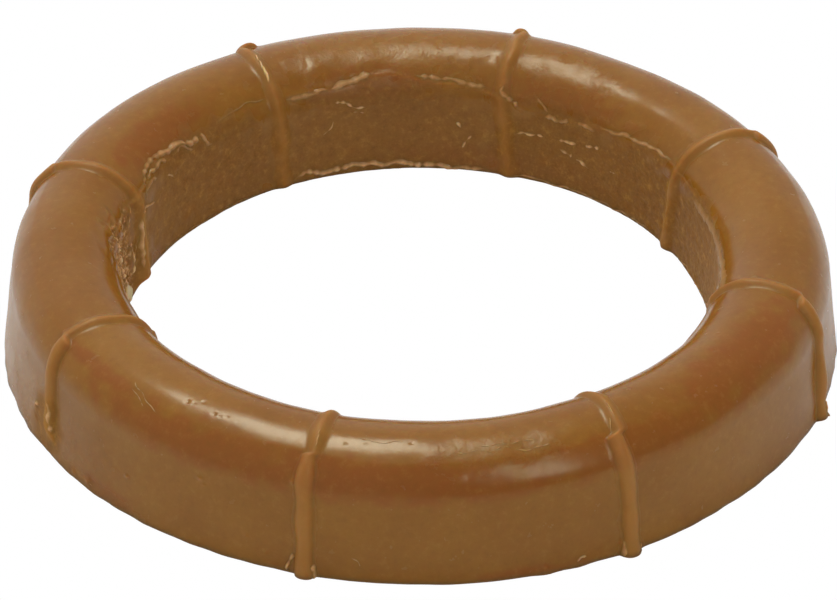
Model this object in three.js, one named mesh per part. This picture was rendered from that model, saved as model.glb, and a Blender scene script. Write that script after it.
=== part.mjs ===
// Toilet pan seal: one thick ring of soft amber wax, cast in a mould with its flat foot open.
// It beds on the soil pipe flange, and the foot of the pan is pressed down on its crown.
//
// The mould has an outer shell, a crown plate and an inner core, and its grooves leave eight beads
// that run up the outer wall, over the crown and down the bore. Where two parts of the mould meet,
// the wax has a low step and each bead has a small jog.
//
// Frame: millimetres, +Z up, the origin at the middle of the flat foot.

import * as THREE from "three";

// Driving dimensions, in millimetres, and degrees for angles.
const FOOT_DIAMETER = 127; // across the outer wall at the foot, between beads
const BORE_DIAMETER = 90.2; // across the inner wall at the foot, between beads
const APEX_DIAMETER = 107.6; // of the circle along the top of the crown
const RING_HEIGHT = 19.2; // from the flat foot to the top of the crown, beads left out
const CROWN_RISE = 7; // height of the rounded crown, above the height that it is struck from
const OUTER_DRAFT = 7.2; // lean of the outer wall, so that the cast ring leaves the shell
const BORE_DRAFT = 2.6; // lean of the inner wall, so that it leaves the core
const FOOT_EDGE_RADIUS = 0.7; // rounding of both edges of the flat foot

const SHELL_JOINT = 54; // how far round the crown's outer quarter the shell reaches
const SHELL_STEP = 0.2; // height of the step that the shell leaves there
const CORE_JOINT = 17; // how far round the crown's inner quarter the core reaches
const CORE_STEP = 0.25; // height of the ledge that the core leaves there
const JOINT_WIDTH = 0.3; // run of either step, along the section

const SHELL_BEAD_WIDTH = 2.9;
const SHELL_BEAD_RISE = 1.1;
const CROWN_BEAD_WIDTH = 3.2;
const CROWN_BEAD_RISE = 1;
const CORE_BEAD_WIDTH = 3;
const CORE_BEAD_RISE = 0.8;
const CROWN_TURN = 0.5; // degrees by which the crown plate sits turned against shell and core
const BEAD_FOOT_SWELL = 0.3; // share by which a bead grows at its foot, where wax welled up
const BEAD_FOOT_HEIGHT = 3; // height above the flat foot over which it grows

// Each bead's place round the ring: at the outer foot, on the crown and at the inner foot.
const BEADS = [
  { outerFoot: 26.5, crown: 27.5, innerFoot: 29.5 },
  { outerFoot: 73.8, crown: 73.2, innerFoot: 71.5 },
  { outerFoot: 118.8, crown: 119.4, innerFoot: 119.5 },
  { outerFoot: 166, crown: 163.8, innerFoot: 164.2 },
  { outerFoot: 212, crown: 210, innerFoot: 208.8 },
  { outerFoot: 255.4, crown: 255.2, innerFoot: 255.4 },
  { outerFoot: 298.4, crown: 298.4, innerFoot: 299.4 },
  { outerFoot: 338.9, crown: 341.8, innerFoot: 342.6 },
];

// How finely the faces are cut.
const FOOT_EDGE_CUTS = 2;
const WALL_CUTS = 4;
const QUARTER_CUTS = 9; // each quarter of the crown
const BEAD_CUTS = 8; // across a bead
const GAP_CUTS = 10; // from one bead to the next

const WAX_COLOUR = 0x8f5c2c;

const apexRadius = APEX_DIAMETER / 2;
const crownBase = RING_HEIGHT - CROWN_RISE;
const radians = THREE.MathUtils.degToRad;

// The two walls are the same construction seen from the two sides of the apex circle.
const outerWall = {
  side: 1,
  reach: FOOT_DIAMETER / 2 - SHELL_STEP - apexRadius,
  draft: radians(OUTER_DRAFT),
  joint: radians(SHELL_JOINT),
  step: SHELL_STEP,
  bead: { width: SHELL_BEAD_WIDTH, rise: SHELL_BEAD_RISE },
};
const innerWall = {
  side: -1,
  reach: apexRadius - BORE_DIAMETER / 2 - CORE_STEP,
  draft: radians(BORE_DRAFT),
  joint: radians(CORE_JOINT),
  step: CORE_STEP,
  bead: { width: CORE_BEAD_WIDTH, rise: CORE_BEAD_RISE },
};
const crownBead = { width: CROWN_BEAD_WIDTH, rise: CROWN_BEAD_RISE };

// A station is one point of the section: "out" is its distance from the apex circle, away to its own
// side, z its height, and (faceOut, faceUp) the way that the wax faces there.
function station(wall, out, z, faceOut, faceUp, zone) {
  return { wall, out, z, faceOut, faceUp, zone };
}

// The same station, stood proud of the section by the height of the mould's step.
function stoodProud({ wall, out, z, faceOut, faceUp, zone }) {
  return station(wall, out + faceOut * wall.step, z + faceUp * wall.step, faceOut, faceUp, zone);
}

// Half of the section, from the edge of the flat foot up to the apex: a rounded edge, a wall that
// leans in by its draft, and a quarter of an ellipse that meets the wall without a break.
function halfSection(wall) {
  const { reach, draft, joint } = wall;
  const [cos, sin] = [Math.cos(draft), Math.sin(draft)];

  // The quarter's half width follows from the wall's line, which has to be its tangent.
  const support = reach * cos - crownBase * sin;
  const halfWidth = Math.sqrt(support ** 2 - (CROWN_RISE * sin) ** 2) / cos;
  const wallTop = Math.atan((CROWN_RISE / halfWidth) * Math.tan(draft));

  const onQuarter = (angle, zone) => {
    const facing = new THREE.Vector2(CROWN_RISE * Math.cos(angle), halfWidth * Math.sin(angle)).normalize();
    const out = halfWidth * Math.cos(angle);
    const z = crownBase + CROWN_RISE * Math.sin(angle);
    return station(wall, out, z, facing.x, facing.y, zone);
  };

  const edgeCentre = reach - (FOOT_EDGE_RADIUS * (1 + sin)) / cos;
  const footEdge = [];
  for (let i = 0; i <= FOOT_EDGE_CUTS; i++) {
    const angle = THREE.MathUtils.lerp(-Math.PI / 2, draft, i / FOOT_EDGE_CUTS);
    const [faceOut, faceUp] = [Math.cos(angle), Math.sin(angle)];
    const out = edgeCentre + FOOT_EDGE_RADIUS * faceOut + wall.step;
    footEdge.push(station(wall, out, FOOT_EDGE_RADIUS * (1 + faceUp), faceOut, faceUp, "wall"));
  }

  const top = onQuarter(wallTop, "wall");
  const foot = station(wall, reach - FOOT_EDGE_RADIUS * Math.tan(draft), FOOT_EDGE_RADIUS, cos, sin, "wall");
  const straight = [];
  for (let i = 1; i < WALL_CUTS; i++) {
    const share = i / WALL_CUTS;
    const out = THREE.MathUtils.lerp(foot.out, top.out, share);
    const z = THREE.MathUtils.lerp(foot.z, top.z, share);
    straight.push(stoodProud(station(wall, out, z, cos, sin, "wall")));
  }

  // The joint of the mould parts the quarter into the wall's own stretch and the crown's.
  const stepTurn = JOINT_WIDTH / Math.hypot(halfWidth * Math.sin(joint), CROWN_RISE * Math.cos(joint));
  const crownCuts = Math.max(2, Math.round((QUARTER_CUTS * (Math.PI / 2 - joint)) / (Math.PI / 2)));
  const wallCuts = Math.max(2, QUARTER_CUTS - crownCuts);
  const quarter = [];
  for (let i = 0; i <= wallCuts; i++) {
    quarter.push(stoodProud(onQuarter(THREE.MathUtils.lerp(wallTop, joint, i / wallCuts), "wall")));
  }
  for (let i = 0; i < crownCuts; i++) {
    quarter.push(onQuarter(THREE.MathUtils.lerp(joint + stepTurn, Math.PI / 2, i / crownCuts), "crown"));
  }
  return [...footEdge, ...straight, ...quarter];
}

// The whole section as a closed loop: out along the flat foot, up the outer wall, over the crown,
// down the bore and back.
function waxSection() {
  const outer = halfSection(outerWall);
  const inner = halfSection(innerWall);
  const apex = station(outerWall, 0, RING_HEIGHT, 0, 1, "crown");
  const footMiddle = station(outerWall, (outer[0].out - inner[0].out) / 2, 0, 0, -1, "foot");
  return [footMiddle, ...outer, apex, ...inner.reverse(), footMiddle];
}

// How far the beads' centreline is round the ring at a station, in degrees.
function beadAngle(bead, { wall, z, zone }) {
  if (zone === "foot") return (bead.outerFoot + bead.innerFoot) / 2;
  if (zone === "crown") return bead.crown + CROWN_TURN;
  const foot = wall.side > 0 ? bead.outerFoot : bead.innerFoot;
  const jointHeight = crownBase + CROWN_RISE * Math.sin(wall.joint);
  return THREE.MathUtils.lerp(foot, bead.crown, Math.min(1, z / jointHeight));
}

// The half width and the rise of a bead at a station. The flat underside has none.
function beadSize({ wall, z, zone }) {
  const { width, rise } = zone === "crown" ? crownBead : wall.bead;
  const nearFoot = zone === "crown" ? 0 : Math.max(0, 1 - z / BEAD_FOOT_HEIGHT) ** 2;
  const swell = 1 + BEAD_FOOT_SWELL * nearFoot;
  return { halfWidth: (width / 2) * swell, rise: zone === "foot" ? 0 : rise * swell };
}

// One turn of the ring as columns: a half round of them across each bead, then even ones up to the
// next bead. Each column gives its angle at a station, in radians, and its share of the bead's rise.
function ringColumns() {
  const columns = [];
  BEADS.forEach((bead, i) => {
    const next = BEADS[(i + 1) % BEADS.length];
    const turn = i + 1 < BEADS.length ? 0 : 2 * Math.PI;
    const across = (owner, at, radius, share) =>
      radians(beadAngle(owner, at)) + (share * beadSize(at).halfWidth) / radius;
    for (let k = 0; k <= BEAD_CUTS; k++) {
      const lean = Math.PI * (k / BEAD_CUTS - 0.5);
      columns.push({
        angle: (at, radius) => across(bead, at, radius, Math.sin(lean)),
        rise: k === 0 || k === BEAD_CUTS ? 0 : Math.cos(lean),
      });
    }
    for (let k = 1; k < GAP_CUTS; k++) {
      columns.push({
        angle: (at, radius) => {
          const from = across(bead, at, radius, 1);
          const to = across(next, at, radius, -1) + turn;
          return THREE.MathUtils.lerp(from, to, k / GAP_CUTS);
        },
        rise: 0,
      });
    }
  });
  return columns;
}

// Where the wax is at a station and column. A bead stands square to the crown, but straight out
// from a wall's foot edge, so that the foot stays flat.
function castPoint(at, column) {
  const rise = beadSize(at).rise * column.rise;
  const onEdge = at.zone === "wall" && at.z < FOOT_EDGE_RADIUS * 1.5;
  const out = at.out + rise * (onEdge ? 1 : at.faceOut);
  const z = at.z + rise * (onEdge ? 0 : at.faceUp);
  const radius = apexRadius + at.wall.side * out;
  const plainRadius = apexRadius + at.wall.side * at.out;
  const angle = column.angle(at, plainRadius);
  return new THREE.Vector3(radius * Math.cos(angle), radius * Math.sin(angle), z);
}

// The section is revolved, and the revolved skin is then drawn onto the beads.
function waxRingGeometry() {
  const section = waxSection();
  const columns = ringColumns();
  const profile = section.map(({ wall, out, z }) => new THREE.Vector2(apexRadius + wall.side * out, z));
  const geometry = new THREE.LatheGeometry(profile, columns.length);
  const skin = geometry.getAttribute("position");
  for (let i = 0; i <= columns.length; i++) {
    section.forEach((at, j) => {
      const { x, y, z } = castPoint(at, columns[i % columns.length]);
      skin.setXYZ(i * section.length + j, x, y, z);
    });
  }
  geometry.computeVertexNormals();
  return geometry;
}

function waxMaterial() {
  return new THREE.MeshStandardMaterial({ color: WAX_COLOUR, roughness: 0.35, metalness: 0 });
}

const panSeal = new THREE.Group();
const waxRing = new THREE.Mesh(waxRingGeometry(), waxMaterial());
waxRing.name = "wax_ring";
panSeal.add(waxRing);

export default panSeal;
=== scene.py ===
"""Toilet pan seal: one thick ring of soft amber wax, cast in a mould, lying on a pale studio floor.

The ring is revolved from its section. Its columns are then drawn onto the eight cast beads, and the
mould's joints, the beads, the uneven casting and the marks of handling are raised on it. Lengths in
the classes are in millimetres and angles in degrees, as on a mould maker's drawing.
"""

from __future__ import annotations

import logging
import math
from dataclasses import dataclass, field
from enum import Enum
from typing import Any

import bpy
import numpy as np
from mathutils import Euler, Matrix, Vector


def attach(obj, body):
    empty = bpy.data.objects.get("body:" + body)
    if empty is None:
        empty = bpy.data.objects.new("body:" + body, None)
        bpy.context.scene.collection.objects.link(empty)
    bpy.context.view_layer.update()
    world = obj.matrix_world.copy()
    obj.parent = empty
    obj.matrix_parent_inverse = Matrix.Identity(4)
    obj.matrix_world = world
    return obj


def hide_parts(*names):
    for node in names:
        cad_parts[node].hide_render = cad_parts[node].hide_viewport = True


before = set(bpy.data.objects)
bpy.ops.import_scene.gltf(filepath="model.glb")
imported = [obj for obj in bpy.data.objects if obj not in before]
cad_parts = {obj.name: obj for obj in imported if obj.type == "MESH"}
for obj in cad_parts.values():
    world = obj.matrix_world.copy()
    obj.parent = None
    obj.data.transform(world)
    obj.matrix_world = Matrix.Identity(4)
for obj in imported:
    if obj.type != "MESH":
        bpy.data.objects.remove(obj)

log = logging.getLogger("pan_seal")

MM = 0.001
BODY = "root"
NODE = "wax_ring"
FULL_TURN = 2 * math.pi

Colour = tuple[float, float, float, float]
Places = tuple[tuple[float, float], ...]

WHITE: Colour = (1.0, 1.0, 1.0, 1.0)


def smooth_step(low: float, high: float, x: np.ndarray) -> np.ndarray:
    """Eases from 0 at low to 1 at high.

    Args:
        low: The value below which the result is 0.
        high: The value above which the result is 1.
        x: The values to ease.

    Returns:
        The eased values, between 0 and 1.
    """
    t = np.clip((x - low) / (high - low), 0.0, 1.0)
    return t * t * (3.0 - 2.0 * t)


def turn_between(a: np.ndarray, b: float) -> np.ndarray:
    """The signed turn in degrees from angle b to the angles a, between -180 and 180."""
    return (np.asarray(a) - b + 180.0) % 360.0 - 180.0


def round_the_ring(angle: np.ndarray, places: Places) -> np.ndarray:
    """Reads a run of ring angles with their values, in order from 0 to 360 degrees, at ring angles."""
    turns, values = np.array(places).T
    return np.interp(np.asarray(angle) % 360.0, turns, values)


class RingNoise:
    """Smooth random relief over the ring's skin, the same at 0 and 360 degrees."""

    def __init__(self, seed: int, wavelength: float, height: float = 1.0, waves: int = 40) -> None:
        """Draws the waves that the relief is summed from.

        Args:
            seed: Fixes the relief.
            wavelength: Typical distance between two rises, in millimetres.
            height: Typical height of a rise, in millimetres where the relief is one of the skin.
            waves: How many waves are summed.
        """
        rng = np.random.default_rng(seed)
        reach = FULL_TURN / wavelength * np.sqrt(rng.uniform(0.25, 1.6, waves))
        heading = rng.uniform(0.0, FULL_TURN, waves)
        mean_radius = 54.0
        self.round = np.round(reach * np.cos(heading) * mean_radius)
        self.along = reach * np.sin(heading)
        self.phase = rng.uniform(0.0, FULL_TURN, waves)
        self.share = height * math.sqrt(2.0 / waves)

    def at(self, angle: np.ndarray, s: np.ndarray) -> np.ndarray:
        """The relief at ring angles in degrees and lengths s along the section, up to about 2 heights."""
        total = np.zeros(np.shape(angle))
        theta = np.radians(angle)
        for around, along, phase in zip(self.round, self.along, self.phase):
            total += np.cos(around * theta + along * s + phase)
        return total * self.share

    def around(self, angle: np.ndarray) -> np.ndarray:
        """The relief round the ring, read along its foot."""
        return self.at(angle, np.zeros(np.shape(angle)))

    def down(self, s: np.ndarray, angle: float = 0.0) -> np.ndarray:
        """The relief along the section, read at one ring angle."""
        return self.at(np.full(np.shape(s), angle), s)


@dataclass
class Section:
    """The ring's section, followed from its outer foot over the top to its inner foot."""

    foot_radius: float = 63.5
    shoulder_radius: float = 61.9
    shoulder_height: float = 12.4
    apex_radius: float = 53.9
    apex_height: float = 19.2
    bore_shoulder_radius: float = 45.7
    bore_radius: float = 45.1
    edge_radius: float = 0.5
    cuts_per_stretch: int = 60

    def __post_init__(self) -> None:
        """Works out the points and normals that the rows of the mesh are read from."""
        quarter = np.linspace(0.0, math.pi / 2, self.cuts_per_stretch)
        rise = self.apex_height - self.shoulder_height
        outer = self.shoulder_radius - self.apex_radius
        inner = self.apex_radius - self.bore_shoulder_radius
        wall = np.linspace(0.0, 1.0, self.cuts_per_stretch)
        stretches = [
            self._edge(self.foot_radius, 1.0),
            np.stack([
                self.foot_radius + (self.shoulder_radius - self.foot_radius) * wall,
                self.shoulder_height * wall,
            ], axis=1)[2:],
            np.stack([
                self.apex_radius + outer * np.cos(quarter),
                self.shoulder_height + rise * np.sin(quarter),
            ], axis=1)[1:],
            np.stack([
                self.apex_radius - inner * np.sin(quarter),
                self.shoulder_height + rise * np.cos(quarter),
            ], axis=1)[1:],
            np.stack([
                self.bore_shoulder_radius + (self.bore_radius - self.bore_shoulder_radius) * wall,
                self.shoulder_height * (1.0 - wall),
            ], axis=1)[1:-2],
            self._edge(self.bore_radius, -1.0)[::-1],
        ]
        self.points = np.concatenate(stretches)
        step = np.linalg.norm(np.diff(self.points, axis=0), axis=1)
        self.lengths = np.concatenate([[0.0], np.cumsum(step)])
        along = np.gradient(self.points, self.lengths, axis=0)
        self.normals = np.stack([along[:, 1], -along[:, 0]], axis=1)
        self.normals /= np.linalg.norm(self.normals, axis=1, keepdims=True)
        self.foot_inside, self.foot_outside = self.points[-1, 0], self.points[0, 0]

    def _edge(self, radius: float, side: float) -> np.ndarray:
        """The rounded foot edge of the wall at a radius, from the flat foot upwards."""
        t = np.linspace(-math.pi / 2, 0.0, 6)[:-1]
        r = radius - side * self.edge_radius * (1.0 - np.cos(t))
        return np.stack([r, self.edge_radius * (1.0 + np.sin(t))], axis=1)

    @property
    def length(self) -> float:
        """The length of the section's skin, without the flat foot."""
        return float(self.lengths[-1])

    def at(self, s: np.ndarray) -> tuple[np.ndarray, np.ndarray, np.ndarray, np.ndarray]:
        """Reads the section at lengths s.

        Args:
            s: Lengths along the skin from the outer foot, in millimetres.

        Returns:
            Radius, height, and the outward and upward parts of the normal.
        """
        columns = (self.points[:, 0], self.points[:, 1], self.normals[:, 0], self.normals[:, 1])
        r, z, out, up = (np.interp(s, self.lengths, column) for column in columns)
        size = np.hypot(out, up)
        over_foot = np.clip((s - self.length) / (self.foot_outside - self.foot_inside), 0.0, 1.0)
        return r + (self.foot_outside - self.foot_inside) * over_foot, z, out / size, up / size


@dataclass(frozen=True)
class Bead:
    """One cast bead: its ring angles up the outer wall, and over the top and down the bore.

    The foot's swell and the spread in the bore are shares of its rise and width. The bulge is added to its
    rise low in the bore. The lift is how far above the inner foot it stops, and a bead is rubbed off below a
    length along the section.
    """

    name: str
    shell: tuple[float, float, float]
    core: tuple[float, float, float, float]
    shell_width: float = 2.5
    rise: float = 0.95
    foot_swell: float = 0.35
    bore_width: float = 2.8
    bore_spread: float = 0.15
    bore_bulge: float = 0.0
    bore_lift: float = 0.0
    rubbed_below: float = 0.0

    def centre(self, s: np.ndarray, joint: float, end: float) -> np.ndarray:
        """The bead's ring angle at lengths s.

        Args:
            s: Lengths along the section.
            joint: The length at which the mould's outer half meets the inner one.
            end: The length at the inner foot.

        Returns:
            Angles in degrees.
        """
        shell = np.interp(s, [0.0, 0.55 * joint, joint], self.shell)
        core = np.interp(s, [joint, joint + 5.0, joint + 14.0, end], self.core)
        over = smooth_step(joint - 0.35, joint + 0.35, s)
        return shell + (core - shell) * over


BEADS = (
    Bead("right_back", (26.6, 26.6, 26.8), (27.6, 27.7, 28.2, 29.4)),
    Bead("back_right", (74.1, 74.1, 74.1), (73.5, 73.5, 73.6, 71.2)),
    Bead("back_left", (118.0, 117.9, 117.9), (119.2, 119.6, 119.9, 119.6), shell_width=3.1),
    Bead(
        "left_back", (165.6, 164.8, 164.0), (163.4, 163.4, 163.2, 165.0),
        bore_width=4.2, bore_spread=0.45, bore_bulge=0.6, bore_lift=1.1,
    ),
    Bead("left_front", (212.2, 211.2, 210.2), (209.4, 209.7, 210.0, 209.0), rubbed_below=4.6),
    Bead("front_left", (255.4, 255.2, 254.9), (255.6, 255.3, 255.2, 255.4)),
    Bead("front_right", (298.5, 298.4, 297.7), (298.9, 299.4, 299.4, 299.6)),
    Bead("right_front", (338.8, 340.2, 341.2), (342.3, 342.4, 342.6, 342.8)),
)


@dataclass
class BeadRow:
    """All the beads, crisp and domed on the outer wall, softer over the top and in the bore.

    A softness is 0 for a dome and 1 for a gentle swelling. A reach is how far the swell at a foot carries
    along the section, and a pair holds the lengths between which a change in the bore takes place.
    """

    section: Section
    joint: float
    core_width: float = 2.2
    core_rise_share: float = 0.75
    shell_softness: float = 0.15
    core_softness: float = 0.95
    joint_blend: float = 0.3
    foot_reach: float = 2.2
    foot_spread: float = 0.3
    bore_foot_reach: float = 3.0
    bore_foot_share: float = 0.5
    widens_in_bore: tuple[float, float] = (31.0, 38.0)
    bulges_in_bore: tuple[float, float] = (33.0, 46.0)
    uneven_length: float = 6.0
    uneven_width: float = 0.06
    uneven_rise: float = 0.09
    sway: float = 0.07
    rub_blend_below: float = 2.2
    rub_blend_above: float = 1.2
    stop_blend: float = 0.35
    first_seed: int = 100

    def rise(self, angle: np.ndarray, s: np.ndarray) -> np.ndarray:
        """How far the beads stand off the plain skin at ring angles and lengths along the section."""
        radius = self.section.at(s)[0]
        total = np.zeros(np.shape(angle))
        for number, bead in enumerate(BEADS):
            away = np.radians(turn_between(angle, bead.centre(s, self.joint, self.section.length))) * radius
            close = np.abs(away) < 2.0 * bead.shell_width
            total[close] = self._rise_of(bead, number, away[close], s[close])
        return total

    def share(self, angle: np.ndarray, s: np.ndarray) -> np.ndarray:
        """How near each place is to a bead's full height, between 0 and 1."""
        return np.clip(self.rise(angle, s) / BEADS[0].rise, 0.0, 1.0)

    def _rise_of(self, bead: Bead, number: int, away: np.ndarray, s: np.ndarray) -> np.ndarray:
        """The rise of one bead near it.

        Args:
            bead: The bead.
            number: Fixes its unevenness.
            away: Distances from its middle, round the ring.
            s: Lengths along the section.

        Returns:
            Heights off the plain skin.
        """
        end = self.section.length
        on_core = smooth_step(self.joint - self.joint_blend, self.joint + self.joint_blend, s)
        at_foot = np.exp(-((s / self.foot_reach) ** 2))
        at_bore_foot = np.exp(-(((s - end) / self.bore_foot_reach) ** 2))
        uneven = RingNoise(self.first_seed + number, self.uneven_length, waves=16)
        wander, sway = uneven.down(s), uneven.down(s, 90.0)

        width = bead.shell_width + (self.core_width - bead.shell_width) * on_core
        width = width + (bead.bore_width - self.core_width) * smooth_step(*self.widens_in_bore, s)
        spread = self.foot_spread * at_foot + bead.bore_spread * at_bore_foot
        width = width * (1.0 + self.uneven_width * wander + spread)

        height = bead.rise * (1.0 - (1.0 - self.core_rise_share) * on_core)
        swell = bead.foot_swell * (at_foot + self.bore_foot_share * at_bore_foot)
        height = height * (1.0 + self.uneven_rise * wander + swell)
        height = height + bead.bore_bulge * smooth_step(*self.bulges_in_bore, s)
        if bead.rubbed_below > 0.0:
            bare, whole = bead.rubbed_below - self.rub_blend_below, bead.rubbed_below + self.rub_blend_above
            height = height * smooth_step(bare, whole, s)
        if bead.bore_lift > 0.0:
            stop = end - bead.bore_lift
            height = height * smooth_step(stop + self.stop_blend, stop - self.stop_blend, s)

        softness = self.shell_softness + (self.core_softness - self.shell_softness) * on_core
        return height * self._across(2.0 * np.abs(away + self.sway * sway) / width, softness)

    @staticmethod
    def _across(x: np.ndarray, softness: np.ndarray) -> np.ndarray:
        """A bead's shape across itself.

        Args:
            x: Distances from its middle, as shares of half its width.
            softness: 0 for a dome with a small fillet at its foot, 1 for a soft swelling.

        Returns:
            Shares of its height.
        """
        dome = (1.0 - np.clip(x, 0.0, 1.0) ** 2.4) ** 0.62
        fillet = 0.1 * np.exp(-((np.maximum(x - 1.0, 0.0) / 0.35) ** 2))
        swelling = 0.85 * np.exp(-((x / 0.78) ** 2.2))
        return (1.0 - softness) * (dome + fillet) + softness * swelling


@dataclass
class Mould:
    """What the mould left on the skin: its two joints, nicks at the foot and a slow unevenness."""

    outer_joint: float = 19.4
    ridge: float = 0.1
    ridge_reach: float = 1.2
    ridge_rounding: float = 0.15
    crease_step: float = 0.24
    crease_half_width: float = 0.16
    crease_wobble_share: float = 0.6
    nick_reach: float = 0.9
    wobble: RingNoise = RingNoise(21, 14.0, 0.18)
    slow: RingNoise = RingNoise(22, 26.0, 0.06)
    shallow: RingNoise = RingNoise(23, 8.0, 0.022)
    nicks: RingNoise = RingNoise(24, 4.0, 0.11)
    crease_places: Places = (
        (0.0, 32.6), (8.0, 33.2), (18.0, 34.8), (31.0, 33.6), (41.0, 34.0), (52.0, 35.0), (64.0, 35.6),
        (72.0, 34.8), (79.0, 33.6), (88.0, 32.6), (97.0, 31.2), (102.0, 31.9), (107.0, 32.9), (117.0, 32.4),
        (127.0, 32.1), (133.0, 32.8), (136.5, 35.2), (140.0, 33.4), (146.0, 32.4), (153.0, 32.2),
        (158.0, 34.0), (170.0, 33.6), (200.0, 34.0), (330.0, 34.0), (360.0, 32.6),
    )
    crease_fades: Places = (
        (0.0, 0.2), (22.0, 0.3), (32.0, 1.0), (116.0, 1.0), (120.0, 0.3),
        (134.0, 0.3), (138.0, 1.0), (335.0, 1.0), (350.0, 0.2), (360.0, 0.2),
    )

    def rise(self, angle: np.ndarray, s: np.ndarray) -> np.ndarray:
        """How far the skin lies off the plain section at ring angles and lengths along it."""
        wobble = self.wobble.around(angle)
        to_joint = np.hypot(s - self.outer_joint - wobble, self.ridge_rounding)
        ridge = self.ridge * np.exp(-to_joint / self.ridge_reach)
        past_crease = s - round_the_ring(angle, self.crease_places) - self.crease_wobble_share * wobble
        step = smooth_step(-self.crease_half_width, self.crease_half_width, past_crease)
        crease = self.crease_step * round_the_ring(angle, self.crease_fades) * step
        nicks = self.nicks.around(angle) * np.exp(-((s / self.nick_reach) ** 2))
        return ridge + crease + self.slow.at(angle, s) + self.shallow.at(angle, s) + nicks


@dataclass(frozen=True)
class WearEdge:
    """What a kind of wear is, with how soft and how wandering its edge is, as shares of its size."""

    meaning: str
    softness: float = 0.2
    straying: float = 0.2


class Wear(Enum):
    """What was done to a stretch of the skin, and the redder shade painted on some stretches."""

    TORN = WearEdge("torn out of the mould, in pale crumbly ridges")
    SUNKEN = WearEdge("torn away, so that the wall lies deeper; the strength is the depth", 0.4, 0.07)
    GRAINY = WearEdge("rubbed to a fine grain", 0.2, 0.07)
    LUMPY = WearEdge("cooled unevenly")
    # painted shade: deeper, redder wax laid where a stretch lies dim, as in the band under the front
    # highlight
    RUDDY_SHADE = WearEdge("clear wax with nothing on it, which shows the deepest colour", 0.4)


@dataclass(frozen=True)
class Patch:
    """A stretch of the skin that differs from the rest."""

    wear: Wear
    angle: float
    s: float
    half_turn: float
    half_length: float
    strength: float = 1.0

    def mask(self, angle: np.ndarray, s: np.ndarray, ragged: np.ndarray) -> np.ndarray:
        """How much of the patch lies at each place, between 0 and its strength."""
        edge = self.wear.value
        reach = np.hypot(turn_between(angle, self.angle) / self.half_turn, (s - self.s) / self.half_length)
        outside = smooth_step(1.0 - edge.softness, 1.0 + edge.softness, reach + edge.straying * ragged)
        return self.strength * (1.0 - outside)


PATCHES = (
    Patch(Wear.TORN, 175.8, 40.8, 7.4, 8.0),
    Patch(Wear.SUNKEN, 179.6, 41.5, 10.6, 9.0, 0.75),
    Patch(Wear.GRAINY, 140.0, 41.2, 21.0, 8.9, 0.8),
    Patch(Wear.GRAINY, 166.0, 41.5, 8.0, 8.0, 0.7),
    Patch(Wear.GRAINY, 13.0, 42.0, 19.0, 8.0, 0.91),
    Patch(Wear.GRAINY, 40.0, 42.5, 13.0, 8.0, 0.95),
    Patch(Wear.GRAINY, 60.0, 42.5, 15.0, 7.6, 0.9),
    Patch(Wear.GRAINY, 98.0, 42.3, 26.0, 9.4, 0.6),
    Patch(Wear.GRAINY, 210.4, 4.6, 4.2, 5.2, 0.8),
    Patch(Wear.GRAINY, 222.0, 0.6, 9.0, 1.8, 0.5),
    Patch(Wear.LUMPY, 98.0, 28.5, 20.0, 4.5),
    Patch(Wear.LUMPY, 62.0, 28.5, 10.0, 4.0, 0.8),
    Patch(Wear.LUMPY, 281.0, 20.5, 9.0, 3.0, 0.7),
    Patch(Wear.LUMPY, 142.0, 39.0, 15.0, 8.0, 0.7),
    Patch(Wear.LUMPY, 90.0, 40.0, 26.0, 8.0, 0.5),
    Patch(Wear.LUMPY, 50.0, 40.0, 20.0, 8.0, 0.8),
    Patch(Wear.LUMPY, 210.0, 5.0, 14.0, 6.0, 0.4),
    # painted shade, darker and redder: the dim band under the front highlight, a fold beside it, and dim
    # stretches at the foot, the top and the bore
    Patch(Wear.RUDDY_SHADE, 219.0, 19.4, 9.0, 1.2, 0.9),
    Patch(Wear.RUDDY_SHADE, 224.0, 1.6, 5.0, 1.5, 0.9),
    Patch(Wear.RUDDY_SHADE, 284.0, 1.0, 7.0, 1.2, 0.9),
    Patch(Wear.RUDDY_SHADE, 240.0, 16.6, 17.0, 2.9, 0.9),
    Patch(Wear.RUDDY_SHADE, 266.0, 16.4, 24.0, 3.0),
    Patch(Wear.RUDDY_SHADE, 300.0, 16.8, 18.0, 2.8, 0.8),
    Patch(Wear.RUDDY_SHADE, 325.0, 20.5, 14.0, 4.5),
    Patch(Wear.RUDDY_SHADE, 148.0, 29.5, 12.0, 3.5, 0.9),
    Patch(Wear.RUDDY_SHADE, 100.0, 32.5, 12.0, 2.5, 0.7),
    Patch(Wear.RUDDY_SHADE, 60.0, 32.8, 14.0, 2.5, 0.6),
    Patch(Wear.RUDDY_SHADE, 70.0, 45.8, 22.0, 2.4, 0.8),
)


@dataclass(frozen=True)
class Dent:
    """A small round pit or lump in the skin, at a ring angle and a length along the section."""

    angle: float
    s: float
    radius: float
    rise: float


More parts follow.
